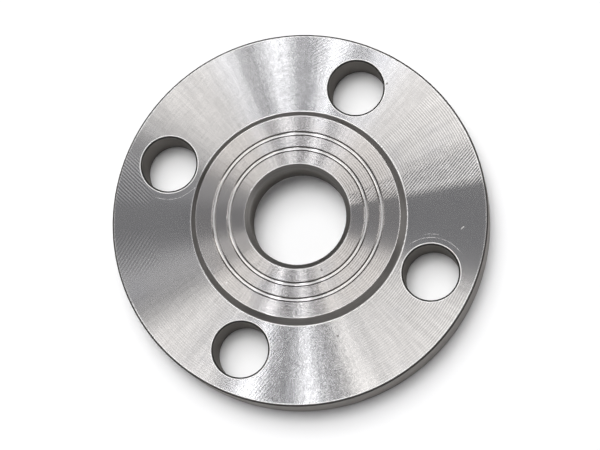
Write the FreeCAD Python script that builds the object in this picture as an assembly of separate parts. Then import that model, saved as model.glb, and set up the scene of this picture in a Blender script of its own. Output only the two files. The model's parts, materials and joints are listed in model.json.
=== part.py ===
import FreeCAD, Part
import math
import os

# Raised face plate flange, turned and drilled from one piece of stainless steel.
# Millimetres. The origin is on the bore axis at the back face, and +Z points to the raised face.

# Plate
plate_thickness = 11.6
rim_chamfer = 0.5                # turned edge break, front and back

# Bore
bore_diameter = 25.2
bore_mouth_chamfer = 1.3         # at the raised face
weld_bevel = 5.0                 # at the back face, takes the weld to the pipe

# Raised face
raised_face_height = 2.4
raised_face_draft = 1.6          # how far the step's wall leans out on its way down
raised_face_edge_round = 0.2
step_foot_round = 0.5            # left in the corner by the nose of the tool

# Gasket grooves, cut in the raised face by a round-nosed tool
groove_count = 2
groove_pitch = 4.05              # from the bore's mouth to the first groove, and from it to the next
groove_width = 1.4
groove_depth = 0.42

# Bolt holes
bolt_hole_count = 4
bolt_circle_diameter = 75.0
bolt_hole_diameter = 14.4
bolt_hole_edge_break = 0.35
step_to_hole_land = 1.95         # flat plate between the foot of the step and the holes
hole_to_rim_wall = 4.6           # metal between the holes and the rim

# Sizes that follow
overall_height = plate_thickness + raised_face_height
bore_radius = bore_diameter / 2
mouth_radius = bore_radius + bore_mouth_chamfer
bevel_radius = bore_radius + weld_bevel
bolt_circle_radius = bolt_circle_diameter / 2
bolt_hole_radius = bolt_hole_diameter / 2
rim_radius = bolt_circle_radius + bolt_hole_radius + hole_to_rim_wall
step_foot_radius = bolt_circle_radius - bolt_hole_radius - step_to_hole_land
step_top_radius = step_foot_radius - raised_face_draft
first_hole_angle = 180 / bolt_hole_count

axis = FreeCAD.Vector(0, 0, 1)


def at(radius, height):
    return FreeCAD.Vector(radius, 0, height)


# A round at one corner of an outline, as its two ends and its middle.
# It takes less than half of the shorter side, so that it always fits.
def rounded_corner(before, corner, after, radius):
    side_in = before - corner
    side_out = after - corner
    half_angle = side_in.getAngle(side_out) / 2
    shorter_side = min(side_in.Length, side_out.Length)
    reach = min(radius / math.tan(half_angle), 0.45 * shorter_side)
    fitted_radius = reach * math.tan(half_angle)
    side_in.normalize()
    side_out.normalize()
    inward = (side_in + side_out).normalize()
    middle = corner + inward * (fitted_radius / math.sin(half_angle) - fitted_radius)
    return corner + side_in * reach, middle, corner + side_out * reach


# A closed outline of straight sides, with a round at each corner that is given a radius.
def outline(corners):
    edges = []
    ends = []
    for index, (corner, radius) in enumerate(corners):
        if radius > 0:
            before = corners[index - 1][0]
            after = corners[(index + 1) % len(corners)][0]
            start, middle, end = rounded_corner(before, corner, after, radius)
            edges.append(Part.Arc(start, middle, end).toShape())
            ends.append((start, end))
        else:
            ends.append((corner, corner))
    for index, (start, end) in enumerate(ends):
        edges.append(Part.makeLine(ends[index - 1][1], start))
    return Part.Wire(Part.__sortEdges__(edges))


# Half of the flange's section, spun about the bore axis: bore, raised face, step, plate and rim.
def turned_blank():
    section = [
        (at(bore_radius, weld_bevel), 0),
        (at(bore_radius, overall_height - bore_mouth_chamfer), 0),
        (at(mouth_radius, overall_height), 0),
        (at(step_top_radius, overall_height), raised_face_edge_round),
        (at(step_foot_radius, plate_thickness), step_foot_round),
        (at(rim_radius - rim_chamfer, plate_thickness), 0),
        (at(rim_radius, plate_thickness - rim_chamfer), 0),
        (at(rim_radius, rim_chamfer), 0),
        (at(rim_radius - rim_chamfer, 0), 0),
        (at(bevel_radius, 0), 0),
    ]
    return Part.Face(outline(section)).revolve(FreeCAD.Vector(), axis, 360)


# The metal that the round-nosed tool takes out of the raised face, one ring for each groove.
def gasket_groove(radius):
    nose_radius = (groove_width ** 2 / 4 + groove_depth ** 2) / (2 * groove_depth)
    centre = at(0, overall_height + nose_radius - groove_depth)
    return Part.makeTorus(radius, nose_radius, centre, axis)


def gasket_grooves():
    grooves = []
    for number in range(1, groove_count + 1):
        grooves.append(gasket_groove(mouth_radius + number * groove_pitch))
    return grooves


# A through hole with its edge broken at the plate's front and at its back.
def bolt_hole():
    centre = at(bolt_circle_radius, 0)
    drill = Part.makeCylinder(bolt_hole_radius, plate_thickness, centre, axis)
    wide = bolt_hole_radius + bolt_hole_edge_break
    back_edge = Part.makeCone(wide, bolt_hole_radius, bolt_hole_edge_break, centre, axis)
    front_start = at(bolt_circle_radius, plate_thickness - bolt_hole_edge_break)
    front_edge = Part.makeCone(bolt_hole_radius, wide, bolt_hole_edge_break, front_start, axis)
    return drill.fuse([back_edge, front_edge])


# The holes straddle the flange's centrelines, as on pipework.
def bolt_holes():
    holes = []
    for number in range(bolt_hole_count):
        hole = bolt_hole()
        hole.rotate(FreeCAD.Vector(), axis, first_hole_angle + number * 360 / bolt_hole_count)
        holes.append(hole)
    return holes


def plate_flange():
    return turned_blank().cut(gasket_grooves() + bolt_holes())


os.makedirs("parts", exist_ok=True)
flange = plate_flange()
flange.exportStep("parts/plate_flange.step")
print("plate_flange: solids %d, valid %s, %.0f mm3" % (len(flange.Solids), flange.isValid(), flange.Volume))
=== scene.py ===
import bmesh
import bpy
import json
import math
from mathutils import Matrix, Vector


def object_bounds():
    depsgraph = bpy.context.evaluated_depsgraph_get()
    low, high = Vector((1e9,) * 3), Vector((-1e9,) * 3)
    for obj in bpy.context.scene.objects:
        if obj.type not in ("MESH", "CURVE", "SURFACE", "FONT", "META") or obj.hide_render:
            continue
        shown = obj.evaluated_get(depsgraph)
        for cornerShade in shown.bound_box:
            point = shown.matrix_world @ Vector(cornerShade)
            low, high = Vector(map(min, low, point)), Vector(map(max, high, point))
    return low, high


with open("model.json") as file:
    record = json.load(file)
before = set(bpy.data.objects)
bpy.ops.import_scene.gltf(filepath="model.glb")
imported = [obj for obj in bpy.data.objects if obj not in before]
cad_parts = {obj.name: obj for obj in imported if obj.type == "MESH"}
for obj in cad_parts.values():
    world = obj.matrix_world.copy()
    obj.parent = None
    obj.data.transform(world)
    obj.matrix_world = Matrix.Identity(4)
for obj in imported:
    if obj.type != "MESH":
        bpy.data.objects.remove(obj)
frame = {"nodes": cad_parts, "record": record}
cadLow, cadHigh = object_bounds()
flange = frame["nodes"]["plate_flange"]
mounts = {mount["name"]: mount for mount in frame["record"]["mounts"]}
print("frame loaded:", flange.name, "with", len(flange.data.polygons), "faces")

# Sizes of the flange in millimetres, which the finish below follows
size = {
    "plateFace": mounts["bolt_holes"]["pos_m"][2] * 1000,
    "boltCircle": mounts["bolt_holes"]["dims"]["pcd_mm"] / 2,
    "boltHole": mounts["bolt_holes"]["dims"]["hole_r_mm"],
    "holeEdge": 0.35,            # width of a hole's broken edge
    "mouth": 13.9,
    "stepTop": 26.75,
    "stepFoot": 28.35,
    "rim": cadHigh.x * 1000,
    "rimChamfer": 0.5,
    "top": cadHigh.z * 1000,
}
size["holeEnd"] = size["boltHole"] + size["holeEdge"]
size["rimStart"] = size["rim"] - size["rimChamfer"]

# Bearings are in degrees, from the right-hand side of the picture and turning left, as on a protractor.
rightHandSide = -21.2        # where that side lies on the flange, from +X


def onBearing(bearing, reach, height):
    angle = math.radians(bearing + rightHandSide)
    return Vector((reach * math.cos(angle), reach * math.sin(angle), height))


# Shader maths: a wire is the outlet of a node, and an expression on wires adds its Math nodes.
class Wire:
    def __init__(self, outlet):
        self.outlet = outlet

    def node(self, kind, settings, inlets, outlet=0):
        tree = self.outlet.id_data
        made = tree.nodes.new(kind)
        for name, setting in settings.items():
            setattr(made, name, setting)
        for name, value in inlets.items():
            if isinstance(value, Wire):
                tree.links.new(value.outlet, made.inputs[name])
            else:
                made.inputs[name].default_value = value
        return Wire(made.outputs[outlet])

    def other(self, outlet):
        return Wire(self.outlet.node.outputs[outlet])

    def maths(self, operation, *values):
        return self.node("ShaderNodeMath", {"operation": operation}, dict(enumerate(values)))

    def __add__(self, value):
        return self.maths("ADD", self, value)

    def __radd__(self, value):
        return self.maths("ADD", value, self)

    def __sub__(self, value):
        return self.maths("SUBTRACT", self, value)

    def __rsub__(self, value):
        return self.maths("SUBTRACT", value, self)

    def __mul__(self, value):
        return self.maths("MULTIPLY", self, value)

    def __rmul__(self, value):
        return self.maths("MULTIPLY", value, self)

    def __truediv__(self, value):
        return self.maths("DIVIDE", self, value)

    def __abs__(self):
        return self.maths("ABSOLUTE", self)

    def root(self):
        return self.maths("SQRT", self)

    def sine(self):
        return self.maths("SINE", self)

    def fraction(self):
        return self.maths("FRACT", self)

    def rise(self, start, end):          # 0 before start, 1 past end
        return self.node("ShaderNodeMapRange", {"interpolation_type": "SMOOTHSTEP"},
                         {"Value": self, "From Min": start, "From Max": end})

    def within(self, start, end, soft):  # 1 between start and end
        return self.rise(start - soft, start + soft) * (1 - self.rise(end - soft, end + soft))

    def past(self, edge, fade):          # 0 before an edge, 1 past it, with the fade measured from it
        return self.rise(edge + fade[0], edge + fade[1])

    def plug(self, shader, inlet):
        self.outlet.id_data.links.new(self.outlet, shader.inputs[inlet])


def mixColours(factor, first, second):
    return factor.node("ShaderNodeMix", {"data_type": "RGBA"}, {0: factor, 6: first, 7: second}, 2)


def mixShaders(factor, first, second):
    return factor.node("ShaderNodeMixShader", {}, {0: factor, 1: first, 2: second})


def toned(colour, tone):
    return tone.node("ShaderNodeVectorMath", {"operation": "SCALE"}, {0: colour, "Scale": tone})


def greatest(*masks):
    most = masks[0]
    for mask in masks[1:]:
        most = most.maths("MAXIMUM", most, mask)
    return most


# Noise about 0, over the surface and along one value
def grain(vector, scale, detail):
    return vector.node("ShaderNodeTexNoise", {}, {"Vector": vector, "Scale": scale, "Detail": detail}) - 0.5


def lineGrain(value, scale, detail=2.0):
    return value.node("ShaderNodeTexNoise", {"noise_dimensions": "1D"}, {
        "W": value, "Scale": scale, "Detail": detail}) - 0.5


# Where a point of the surface is, in millimetres: across the flange, round it in turns,
# and from the nearest bolt hole
class Place:
    def __init__(self, tree):
        metres = Wire(tree.nodes.new("ShaderNodeTexCoord").outputs["Object"])
        self.vector = metres.node("ShaderNodeVectorMath", {"operation": "SCALE"}, {0: metres, "Scale": 1000})
        x = self.vector.node("ShaderNodeSeparateXYZ", {}, {0: self.vector}, "X")
        y = x.other("Y")
        self.height = x.other("Z")
        self.reach = (x * x + y * y).root()
        self.turn = y.maths("ARCTAN2", y, x) / math.tau
        toHole = size["boltCircle"] * math.sqrt(0.5)     # the holes lie at 45 degrees to X and Y
        aside = abs(x) - toHole
        along = abs(y) - toHole
        self.holeReach = (aside * aside + along * along).root()

    def against(self, operation, vector):
        return self.vector.node("ShaderNodeVectorMath", {"operation": operation}, {
            0: self.vector, 1: vector}, "Value")

    # How far along one bearing
    def along(self, bearing):
        return self.against("DOT_PRODUCT", onBearing(bearing, 1, 0))

    # 1 near one spot of the front
    def near(self, bearing, reach, height, radius, soft):
        away = self.against("DISTANCE", onBearing(bearing, reach, height))
        return 1 - away.rise(radius - soft, radius + soft)

    # 1 on the stretch between two bearings, whose middle is turned to half a turn first
    def sector(self, start, end, soft):
        middle = (start + end) / 2
        turned = self.turn + (1.5 - (middle + rightHandSide) / 360)
        away = abs(turned.fraction() - 0.5) * 360
        half = (end - start) / 2
        return 1 - away.rise(half - soft, half + soft)


# Gasket grooves, whose flanks are painted in shade where the face beside them is bright
groove = {
    "radii": (17.95, 22.0),
    "soft": 0.06,
    "heightFade": (0.0, 0.5),    # above the plate's face
    "plainTo": 0.75,             # no tool marks nearer to the middle of a groove than this
    "flankStart": 0.28,
    "flankEnd": 0.62,
    "flankShade": 0.95,
    "flankDullLoss": 0.6,        # how much less they show where the face is dark
}


# 1 on the rings that lie between two distances from the middle of each groove
def grooveMask(place, start, end):
    rings = [abs(place.reach - radius).within(start, end, groove["soft"]) for radius in groove["radii"]]
    return greatest(*rings) * place.height.past(size["plateFace"], groove["heightFade"])


# Turned steel
steel = {
    "plateColour": (0.711, 0.702, 0.700, 1),
    "raisedColour": (0.730, 0.705, 0.690, 1),
    "stainColour": (0.655, 0.650, 0.662, 1),
    "stainScale": 0.12,
    "stainDetail": 4,
    "stainFade": (0.0, 0.35),
    "roughness": 0.20,
    "anisotropy": 1.0,
    "grainTurn": 0.25,           # a quarter turn, so that the grain runs round the bore
    "brushWidth": 0.4,           # fine lines left by the tool, long and narrow
    "brushLength": 6.0,          # in degrees round the flange
    "brushTone": 0.16,
    "rayWidth": 1.6,             # fine rays out from the bore, in degrees: painted streaks of reflection
    "rayLength": 12,
    "rayTone": 0.26,
    "strokeWidth": 0.36,         # strokes of the emery cloth, both ways across
    "strokeLength": 3.0,
    "strokeTone": 0.16,
    "strokeBearings": (50, 135),
    "raisedRelief": 0.4,         # how deep the strokes are on the raised face, against the plate
}

# Where the face mirrors the dim room, and how much less its marks show there
dim = {
    "stretches": [(340, 372, 1), (152, 206, 1)],
    "soft": 6,
    "loss": 0.9,
}

# The marks of the tool's feed: where they show, and how much
feed = {
    "pitch": 0.62,
    "tone": 0.17,
    "wander": 3,                 # how far they wander off true circles
    "wanderScale": 0.3,
    "stretches": [(21, 43, 1.0), (314, 334, 0.8), (296, 314, 0.4), (214, 240, 0.3)],
    "soft": 2,
}

# Flecks: short strokes that speckle the plate, the same ways across, and where they do
fleck = {
    "width": 0.26,
    "length": 0.75,
    "tone": 0.6,
    "depth": 0.0023,
    "elsewhere": 0.1,            # how much of them is left away from their stretches
    "stretches": [(76, 107, 0.8), (250, 290, 1.0)],
    "soft": 4,
    "bold": (0.02, 0.24),        # the boldest are rubbed bright
    "boldShare": 0.16,
    "frontFade": (-0.1, -0.02),  # above the plate's face
    "footFade": (0.0, 0.5),      # outside the foot of the step
}

# Where the tool chattered: the bearings, the reach that the waves start at, which way they lie, their pitch,
# and how much they show in the relief and in the tone
chatters = [
    {"start": 10.5, "end": 20.5, "soft": 2.4, "from": 13,
     "crest": 50, "pitch": 0.63, "depth": 1.05, "tone": 0.18},
    {"start": 20.5, "end": 28, "soft": 2, "from": 29,
     "crest": 50, "pitch": 0.63, "depth": 0.35, "tone": 0.03},
    {"start": 158, "end": 174, "soft": 3, "from": 40,
     "crest": 135, "pitch": 0.72, "depth": 0.35, "tone": 0.28},
    {"start": 184, "end": 198, "soft": 3, "from": 38,
     "crest": 58, "pitch": 0.8, "depth": 0.3, "tone": 0.15},
    {"start": 252, "end": 262, "soft": 3, "from": 30,
     "crest": 50, "pitch": 0.74, "depth": 0.08, "tone": 0.0},
    {"start": 276, "end": 284, "soft": 3, "from": 30,
     "crest": 10, "pitch": 0.63, "depth": 0.15, "tone": 0.0},
    {"start": 74, "end": 88, "soft": 4, "from": 38,
     "crest": 28, "pitch": 0.8, "depth": 0.1, "tone": 0.0},
]

# What the waves of all those patches share
waves = {
    "depth": 0.0085,
    "wander": 2.5,               # how far they wander off straight lines
    "wanderScale": 0.35,
    "swellScale": 0.4,           # and how they come and go
    "reachSoft": 2,
}


def patches(place, stretches, soft):
    shown = [place.sector(start, end, soft) * share for start, end, share in stretches]
    return greatest(*shown)


def dull(place):
    return patches(place, dim["stretches"], dim["soft"])


def speckled(place):
    return patches(place, fleck["stretches"], fleck["soft"]) * (1 - fleck["elsewhere"]) + fleck["elsewhere"]


# Grain that is drawn out one way
def streaks(place, across, along, detail):
    drawn = across.node("ShaderNodeCombineXYZ", {}, {"X": across, "Y": along, "Z": place.height})
    return grain(drawn, 1.0, detail)


# Strokes both ways across the flange
def strokes(place, width, length):
    drawn = []
    for bearing in steel["strokeBearings"]:
        drawn.append(streaks(place, place.along(bearing + 90) / width, place.along(bearing) / length, 1))
    return drawn[0] + drawn[1]


# Waves across a stretch of the flange
def chatter(place, patch):
    wander = grain(place.vector, waves["wanderScale"], 1) * waves["wander"]
    phase = place.along(patch["crest"] + 90) * (math.tau / patch["pitch"]) + wander
    shown = place.sector(patch["start"], patch["end"], patch["soft"])
    shown = shown * place.reach.rise(patch["from"] - waves["reachSoft"], patch["from"] + waves["reachSoft"])
    return phase.sine() * shown * (grain(place.vector, waves["swellScale"], 1) + 1)


def brushedTone(place):
    brushAlong = place.turn * (360 / steel["brushLength"])
    brush = streaks(place, place.reach / steel["brushWidth"], brushAlong, 2)
    # Painted reflection streaks: fine rays out from the bore
    rayAcross = place.turn * (360 / steel["rayWidth"])
    rays = streaks(place, place.reach / steel["rayLength"], rayAcross, 1)
    cloth = strokes(place, steel["strokeWidth"], steel["strokeLength"])
    tone = 1 + brush * steel["brushTone"] + rays * steel["rayTone"] + cloth * steel["strokeTone"]
    wander = grain(place.vector, feed["wanderScale"], 1) * feed["wander"]
    marks = (place.reach * (math.tau / feed["pitch"]) + wander).sine()
    tone = tone + marks * feed["tone"] * patches(place, feed["stretches"], feed["soft"])
    tone = tone + strokes(place, fleck["width"], fleck["length"]) * fleck["tone"] * speckled(place)
    tone = 1 + (tone - 1) * (1 - dull(place) * dim["loss"])
    for patch in chatters:
        if patch["tone"] > 0:
            tone = tone + chatter(place, patch) * patch["tone"]
    return tone


def turnedRelief(place):
    relief = strokes(place, fleck["width"], fleck["length"]) * fleck["depth"]
    relief = relief * speckled(place) * (1 - dull(place) * dim["loss"])
    onPlate = place.reach.rise(size["stepTop"], size["stepFoot"])
    relief = relief * (onPlate * (1 - steel["raisedRelief"]) + steel["raisedRelief"])
    for patch in chatters:
        relief = relief + chatter(place, patch) * (patch["depth"] * waves["depth"])
    return relief * (1 - grooveMask(place, 0, groove["plainTo"]))


def bumpFrom(height):
    return height.node("ShaderNodeBump", {}, {"Strength": 1.0, "Distance": 0.001, "Height": height})


def metal(tree, colour, roughness, relief):
    shader = tree.nodes.new("ShaderNodeBsdfPrincipled")
    shader.inputs["Metallic"].default_value = 1.0
    shader.inputs["Roughness"].default_value = roughness
    if isinstance(colour, Wire):
        colour.plug(shader, "Base Color")
    else:
        shader.inputs["Base Color"].default_value = colour
    if relief:
        bumpFrom(relief).plug(shader, "Normal")
    return shader


def turnedFinish(tree, place):
    raised = 1 - place.reach.rise(size["stepTop"], size["stepFoot"])
    colour = mixColours(raised, steel["plateColour"], steel["raisedColour"])
    stains = grain(place.vector, steel["stainScale"], steel["stainDetail"]).rise(*steel["stainFade"])
    colour = toned(mixColours(stains, colour, steel["stainColour"]), brushedTone(place))
    turned = metal(tree, colour, steel["roughness"], turnedRelief(place))
    turned.inputs["Anisotropic"].default_value = steel["anisotropy"]
    turned.inputs["Anisotropic Rotation"].default_value = steel["grainTurn"]
    return Wire(turned.outputs[0])


# Bored, drilled and parted walls: a rougher cut finish, painted darker than the face as painted shade. Each
# fade is where a finish comes in, in millimetres past an edge.
wall = {
    # Painted shade: the walls darker than the face, the rim's side a little lighter, and the chamfers,
    # broken edges and groove flanks darkest
    "colour": (0.243, 0.233, 0.223, 1),
    "edgeColour": (0.065, 0.061, 0.058, 1),
    "rimColour": (0.37, 0.354, 0.343, 1),
    "roughness": 0.42,
    "edgeTint": (0.35, 0.34, 0.33, 1),
    "ringScale": 1.9,            # rings of lighter and darker metal down a wall
    "ringDetail": 3,
    "ringTone": 0.4,
    "lineScale": 3.0,            # fine lines round it
    "lineDepth": 0.007,
    "boreShade": 0.45,           # painted shade: how much the bore darkens on its way down
    "boreShadeHeights": (7, 13),
    "boreFade": (0.0, 0.1),
    "mouthFade": (-0.08, -0.02),
    "holeFade": (0.05, 0.11),
    "stepFade": (-0.5, 0.0),
    "stepInset": 0.02,
    "stepSoft": 0.06,
    "rimFade": (0.0, 0.1),
    "rimColourFade": (0.0, 0.05),
    "rimCornerFade": (-0.55, -0.45),
    "holeCorner": (0.04, 0.14),  # painted shade from the hole's wall to past its broken edge
    "holeCornerSoft": 0.02,
    "knockShare": 0.8,           # how dark the dark knocks are
}


def wallMask(place):
    bore = 1 - place.reach.past(size["mouth"], wall["mouthFade"])
    hole = 1 - place.holeReach.past(size["holeEnd"], wall["holeFade"])
    stepStart = size["stepTop"] + wall["stepInset"]
    stepEnd = size["stepFoot"] - wall["stepInset"]
    step = place.reach.within(stepStart, stepEnd, wall["stepSoft"])
    step = step * place.height.past(size["plateFace"], wall["stepFade"])
    rim = place.reach.past(size["rimStart"], wall["rimFade"])
    return greatest(bore, hole, step, rim)


# Painted shade on the groove flanks, fainter where the face is dark
def flankShadeMask(place):
    shade = grooveMask(place, groove["flankStart"], groove["flankEnd"])
    return shade * (1 - dull(place) * groove["flankDullLoss"]) * groove["flankShade"]


def wallFinish(tree, place):
    rings = 1 + lineGrain(place.height, wall["ringScale"], wall["ringDetail"]) * wall["ringTone"]
    rim = place.reach.past(size["rimStart"], wall["rimColourFade"])
    rimCorner = rim * place.height.past(size["plateFace"], wall["rimCornerFade"])
    cornerStart = size["boltHole"] + wall["holeCorner"][0]
    cornerEnd = size["holeEnd"] + wall["holeCorner"][1]
    holeCorner = place.holeReach.within(cornerStart, cornerEnd, wall["holeCornerSoft"])
    # Chamfers, broken edges and groove flanks painted in shade
    cornerShade = greatest(rimCorner, holeCorner, flankShadeMask(place))
    bore = 1 - place.reach.past(size["mouth"], wall["boreFade"])
    # Painted shade, darker towards the bottom of the bore
    down = bore * (1 - place.height.rise(*wall["boreShadeHeights"]))
    colour = mixColours(rim, wall["colour"], wall["rimColour"])
    colour = mixColours(cornerShade, colour, wall["edgeColour"])
    colour = toned(colour, rings * (1 - down * wall["boreShade"]))
    relief = lineGrain(place.height, wall["lineScale"]) * wall["lineDepth"]
    cut = metal(tree, colour, wall["roughness"], relief)
    cut.inputs["Specular Tint"].default_value = wall["edgeTint"]
    return Wire(cut.outputs[0])


# Bright metal: painted highlights on the edges that catch the light and along the middle of each groove, and
# scribed arcs and small knocks rubbed bright
brightMarksAndHighlights = {
    "colour": (0.95, 0.945, 0.935, 1),
    "roughness": 0.5,
    "edgeWidth": 0.3,            # at the mouth, the step's top and its foot
    "holeWidth": 0.24,
    "holeGap": 0.09,             # from a hole's broken edge to the bright ring round it
    "rimWidth": 0.24,
    "grooveWidth": 0.2,          # on either side of the middle of a groove
    "soft": 0.04,
    "frontFade": (-0.3, -0.2),   # above the plate's face
    "holeShare": 0.9,            # how strongly each edge is painted with a highlight
    "mouthShare": 0.5,
    "topShare": 0.35,
    "footShare": 0.95,
    "rimShare": 0.75,
    "grooveShare": 0.5,
    "dullShare": 0.15,           # and what is left of that where the face is dark
    "rimWear": 2,                # how unevenly the rim's painted highlight runs
    "rimWearScale": 1.3,
    "knockSoft": 0.08,
}

# Scribed arcs round a bolt hole: the middle of each, its half length, and its radius from the hole
scribed = [
    {"bearing": 169.3, "reach": 32.45, "half": 6.2, "radius": 9.4, "share": 0.28},
    {"bearing": 350.4, "reach": 36.6, "half": 7.0, "radius": 9.2, "share": 0.28},
    {"bearing": 351.7, "reach": 34.85, "half": 1.8, "radius": 10.1, "share": 0.22},
]

# What those arcs share
scribe = {
    "halfWidth": 0.1,
    "soft": 0.06,
    "endSoft": 1,
    "wear": 3,                   # how unevenly they are cut
    "wearScale": 1.2,
    "wearDetail": 2,
}

# Small knocks: bearing, reach and radius of each
brightKnocks = [
    (355.5, 43.0, 0.13), (355.25, 42.8, 0.11), (355.0, 42.6, 0.1), (354.7, 42.4, 0.08),
    (268.1, 26.2, 0.22), (223.0, 25.2, 0.18),
]
darkKnocks = [
    (56.5, 42.3, 0.3), (288.0, 32.8, 0.3), (293.7, 15.6, 0.3), (144.9, 13.95, 0.3), (93.9, 22.45, 0.25),
    (83.8, 22.4, 0.25), (101.3, 18.5, 0.25), (257.5, 21.9, 0.25), (262.0, 21.9, 0.25), (264.2, 21.8, 0.2),
    (282.4, 22.1, 0.2), (266.9, 18.25, 0.25), (269.2, 18.35, 0.2),
]


# The boldest of the flecks
def fleckMask(place):
    bold = strokes(place, fleck["width"], fleck["length"]).rise(*fleck["bold"])
    front = place.height.past(size["plateFace"], fleck["frontFade"])
    front = front * place.reach.past(size["stepFoot"], fleck["footFade"])
    return bold * front * patches(place, fleck["stretches"], fleck["soft"]) * fleck["boldShare"]


def knockMask(place, knocks):
    masks = []
    for bearing, reach, radius in knocks:
        height = size["plateFace"] if reach > size["stepFoot"] else size["top"]
        masks.append(place.near(bearing, reach, height, radius, brightMarksAndHighlights["knockSoft"]))
    return greatest(*masks)


def arcMask(place, arc):
    start = arc["radius"] - scribe["halfWidth"]
    line = place.holeReach.within(start, arc["radius"] + scribe["halfWidth"], scribe["soft"])
    here = place.near(arc["bearing"], arc["reach"], size["plateFace"], arc["half"], scribe["endSoft"])
    wear = grain(place.vector, scribe["wearScale"], scribe["wearDetail"]) * scribe["wear"] + 1
    return line * here * wear * arc["share"]


def brightRing(reach, start, width):
    return reach.within(start, start + width, brightMarksAndHighlights["soft"])


# Painted highlights on the edges, fainter where the face is dark, and along the middle of each groove, with
# the scribed arcs, the bright knocks and the boldest flecks
def brightMarksAndHighlightsMask(place):
    width = brightMarksAndHighlights["edgeWidth"]
    hole = brightRing(place.holeReach, size["holeEnd"] + brightMarksAndHighlights["holeGap"], brightMarksAndHighlights["holeWidth"])
    mouth = brightRing(place.reach, size["mouth"], width)
    top = brightRing(place.reach, size["stepTop"] - width, width)
    foot = brightRing(place.reach, size["stepFoot"], width)
    rim = brightRing(place.reach, size["rimStart"] - brightMarksAndHighlights["rimWidth"], brightMarksAndHighlights["rimWidth"])
    rimWear = grain(place.vector, brightMarksAndHighlights["rimWearScale"], 1) * brightMarksAndHighlights["rimWear"] + 1
    edgeHighlights = greatest(mouth * brightMarksAndHighlights["mouthShare"], top * brightMarksAndHighlights["topShare"],
                     foot * brightMarksAndHighlights["footShare"], rim * brightMarksAndHighlights["rimShare"] * rimWear)
    front = place.height.past(size["plateFace"], brightMarksAndHighlights["frontFade"])
    edgeHighlights = edgeHighlights * front * (1 - dull(place) * (1 - brightMarksAndHighlights["dullShare"]))
    grooves = grooveMask(place, -1, brightMarksAndHighlights["grooveWidth"])       # from before the middle of each groove
    edgeHighlights = greatest(hole * brightMarksAndHighlights["holeShare"], edgeHighlights, grooves * brightMarksAndHighlights["grooveShare"])
    arcs = [arcMask(place, arc) for arc in scribed]
    return greatest(edgeHighlights, knockMask(place, brightKnocks), fleckMask(place), *arcs)


def brightMarksAndHighlightsFinish(tree):
    return Wire(metal(tree, brightMarksAndHighlights["colour"], brightMarksAndHighlights["roughness"], None).outputs[0])


def turnedSteel():
    material = bpy.data.materials.new("turnedSteel")
    material.use_nodes = True
    tree = material.node_tree
    tree.nodes.remove(tree.nodes["Principled BSDF"])
    place = Place(tree)
    # The walls and the groove flanks take the wall finish with its painted shade, and so do the dark knocks
    walls = greatest(wallMask(place), flankShadeMask(place), knockMask(place, darkKnocks) * wall["knockShare"])
    finish = mixShaders(walls, turnedFinish(tree, place), wallFinish(tree, place))
    # The bright finish: painted highlights on the edges and grooves, and the bright marks
    finish = mixShaders(brightMarksAndHighlightsMask(place), finish, brightMarksAndHighlightsFinish(tree))
    finish.plug(tree.nodes["Material Output"], "Surface")
    return material


flange.data.materials.clear()
flange.data.materials.append(turnedSteel())
print("steel done")

# Camera: it looks down on the flange from the lower right of the picture.
camera = {
    "tilt": 12.778,              # from the bore's axis
    "bearing": -57.36,
    "distance": 0.617,
    "lens": 142.36,
    "sensor": 36,
    "clip": (0.01, 20),
    "aimBearing": -78.4,         # the point that it looks at
    "aimReach": 0.00195,
}


def placeCamera():
    data = bpy.data.cameras.new("camera")
    data.lens = camera["lens"]
    data.sensor_width = camera["sensor"]
    data.clip_start, data.clip_end = camera["clip"]
    item = bpy.data.objects.new("camera", data)
    bpy.context.scene.collection.objects.link(item)
    tilt = math.radians(camera["tilt"])
    aim = onBearing(camera["aimBearing"], camera["aimReach"], size["plateFace"] / 1000)
    back = onBearing(camera["bearing"], math.sin(tilt), math.cos(tilt))
    right = onBearing(90, 1, 0).cross(back).normalized()
    up = back.cross(right)
    turn = Matrix((right, up, back)).transposed()
    item.matrix_world = Matrix.Translation(aim + back * camera["distance"]) @ turn.to_4x4()
    bpy.context.scene.camera = item


placeCamera()
print("camera placed")

# Floor
floor = {
    "colour": (0.93, 0.93, 0.93, 1),
    "roughness": 0.9,
    "width": 6.0,
}


def layFloor():
    mesh = bpy.data.meshes.new("floor")
    shape = bmesh.new()
    bmesh.ops.create_grid(shape, x_segments=1, y_segments=1, size=floor["width"] / 2)
    shape.to_mesh(mesh)
    shape.free()
    item = bpy.data.objects.new("floor", mesh)
    bpy.context.scene.collection.objects.link(item)
    material = bpy.data.materials.new("floorPaper")
    material.use_nodes = True
    shader = material.node_tree.nodes["Principled BSDF"]
    shader.inputs["Base Color"].default_value = floor["colour"]
    shader.inputs["Roughness"].default_value = floor["roughness"]
    shader.inputs["Specular IOR Level"].default_value = 0.0
    mesh.materials.append(material)


layFloor()
print("floor laid")

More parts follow.
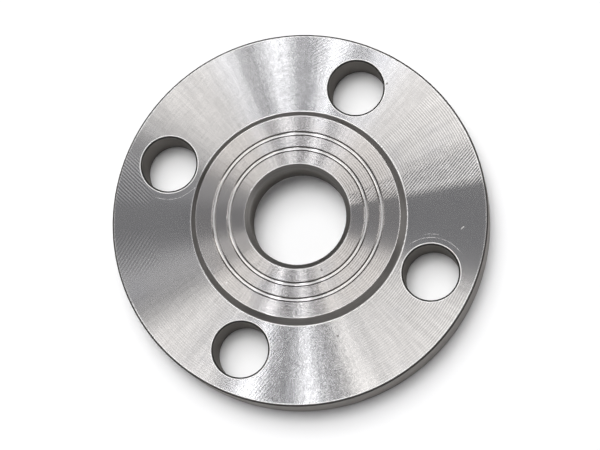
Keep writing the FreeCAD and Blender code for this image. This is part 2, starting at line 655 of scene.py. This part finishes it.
# The canopy: soft boxes that fan out over the flange from the spot that its faces mirror to the camera
warm = (1.025, 1.0, 0.965)
cool = (0.985, 0.997, 1.03)
canopy = {
    "height": 0.4,               # above the plate's face
    "width": 1.612,              # wide enough for the soft boxes to fade out within it
    "apexBearing": 122.4,        # where the soft boxes come together
    "apexReach": 0.092,
    "startReach": (0.030, 0.108),    # from the apex, fading in
    "endReach": (0.50, 0.62),
    # Each soft box: its first and last bearing, its brightness and its tint
    "boxes": [
        (17.2, 22, 2.15, warm), (22, 56, 1.46, warm), (56, 67, 2.08, cool), (75, 82, 3.6, cool),
        (94, 102, 2.95, cool), (110, 118, 2.0, cool), (118, 132, 1.28, warm), (132, 138, 1.43, warm),
        (138, 148, 0.82, warm), (155, 166, 0.3, cool), (190, 204, 0.3, cool), (212, 217, 0.87, warm),
        (217, 224, 1.67, warm), (224, 231, 0.95, warm), (231, 243, 1.5, warm), (249.2, 254.6, 4.35, cool),
        (270.5, 275.5, 4.4, cool), (286.7, 293, 2.15, warm), (293, 298, 0.75, warm), (298, 335, 1.28, warm),
        (335, 340, 0.5, warm),
    ],
    "brightest": 4.4,
    "rayScale": 110,             # thin brighter and darker rays within the soft boxes
    "rayTone": 0.9,
}


def addLamp(name, shape, width, length, place, aim):
    data = bpy.data.lights.new(name, "AREA")
    data.shape = shape
    data.size = width
    if shape == "RECTANGLE":
        data.size_y = length
    data.energy = math.pi * width * length       # its face then glows at strength 1
    item = bpy.data.objects.new(name, data)
    bpy.context.scene.collection.objects.link(item)
    turn = (place - aim).to_track_quat("Z", "Y").to_matrix().to_4x4()
    item.matrix_world = Matrix.Translation(place) @ turn
    item.visible_camera = False
    item.visible_diffuse = False
    return item


def fillRamp(ramp, stops):
    ramp.interpolation = "CONSTANT"
    while len(ramp.elements) > 1:
        ramp.elements.remove(ramp.elements[-1])
    for index, (position, colour) in enumerate(stops):
        stop = ramp.elements[0] if index == 0 else ramp.elements.new(position)
        stop.position = position
        stop.color = colour


# One stop where each soft box starts, and a dark one where the next doesn't follow at once
def boxStops():
    dark = (0, 0, 0, 1)
    stops = []
    last = 0
    for first, end, brightness, tint in canopy["boxes"]:
        if first > last:
            stops.append((last / 360, dark))
        level = brightness / canopy["brightest"]
        stops.append((first / 360, (tint[0] * level, tint[1] * level, tint[2] * level, 1)))
        last = end
    stops.append((last / 360, dark))
    return stops


def hangCanopy():
    middle = Vector((0, 0, size["plateFace"] / 1000))
    place = middle + Vector((0, 0, canopy["height"]))
    lamp = addLamp("canopy", "SQUARE", canopy["width"], canopy["width"], place, middle)
    lamp.data.use_nodes = True
    emission = lamp.data.node_tree.nodes["Emission"]
    start = Wire(emission.outputs[0])
    apex = onBearing(canopy["apexBearing"], canopy["apexReach"], 0)
    offset = start.node("ShaderNodeVectorMath", {"operation": "SUBTRACT"}, {
        0: start.node("ShaderNodeNewGeometry", {}, {}, "Position"), 1: apex})
    x = start.node("ShaderNodeSeparateXYZ", {}, {0: offset}, "X")
    y = x.other("Y")
    reach = (x * x + y * y).root()
    turned = y.maths("ARCTAN2", y, x) / math.tau + (1 - rightHandSide / 360)
    boxes = start.node("ShaderNodeValToRGB", {}, {0: turned.fraction()}, "Color")
    fillRamp(boxes.outlet.node.color_ramp, boxStops())
    boxes.plug(emission, "Color")
    lit = reach.rise(*canopy["startReach"]) * (1 - reach.rise(*canopy["endReach"]))
    rays = 1 + lineGrain(turned, canopy["rayScale"]) * canopy["rayTone"]
    (lit * rays * canopy["brightest"]).plug(emission, "Strength")


hangCanopy()
print("canopy hung")

# Side panels, which catch the walls of the grooves and the edges
panel = {
    "reach": 0.8,
    "height": 0.44,
    "width": 0.58,
    "length": 0.36,
    "sides": [("rightPanel", 0, 1.5), ("leftPanel", 180, 0.7)],  # the bearing and the brightness of each
}

# The key comes down from the top of the picture. It lights the floor, and the flange shades it.
key = {
    "bearing": 109,
    "lean": 0.36,                # sideways for each unit of height
    "spread": 0.41,              # its radius seen from the flange, for each unit of height
    "strength": 1.87,
}

# The fill comes down more steeply and lights the floor in the holes.
fill = {
    "bearing": 109,
    "lean": 0.17,
    "spread": 0.19,
    "strength": 1.12,
}


def hangSun(name, sun):
    data = bpy.data.lights.new(name, "SUN")
    data.energy = sun["strength"]
    data.angle = 2 * math.atan(sun["spread"])
    lamp = bpy.data.objects.new(name, data)
    bpy.context.scene.collection.objects.link(lamp)
    way = onBearing(sun["bearing"], sun["lean"], 1)
    lamp.matrix_world = way.to_track_quat("Z", "Y").to_matrix().to_4x4()
    lamp.visible_glossy = False


def hangLamps():
    for name, bearing, level in panel["sides"]:
        place = onBearing(bearing, panel["reach"], panel["height"])
        lamp = addLamp(name, "RECTANGLE", panel["width"], panel["length"], place, Vector((0, 0, 0)))
        lamp.data.energy = lamp.data.energy * level
    hangSun("key", key)
    hangSun("fill", fill)


hangLamps()
print("lamps hung")

# World: a dim room with a pale horizon
room = {
    "colour": (0.198, 0.199, 0.208, 1),
    "horizonColour": (0.95, 0.95, 0.95, 1),
    "horizonStart": 0.12,        # sine of the height angle where the horizon begins to fade
    "horizonEnd": 0.20,
}


def paintRoom():
    world = bpy.data.worlds.new("room")
    bpy.context.scene.world = world
    world.use_nodes = True
    background = world.node_tree.nodes["Background"]
    way = Wire(world.node_tree.nodes.new("ShaderNodeTexCoord").outputs["Generated"])
    upward = way.node("ShaderNodeSeparateXYZ", {}, {0: way}, "Z")
    horizon = 1 - abs(upward).rise(room["horizonStart"], room["horizonEnd"])
    mixColours(horizon, room["colour"], room["horizonColour"]).plug(background, "Color")
    background.inputs["Strength"].default_value = 1.0


paintRoom()
bpy.context.scene.view_settings.view_transform = "Standard"
print("room painted")
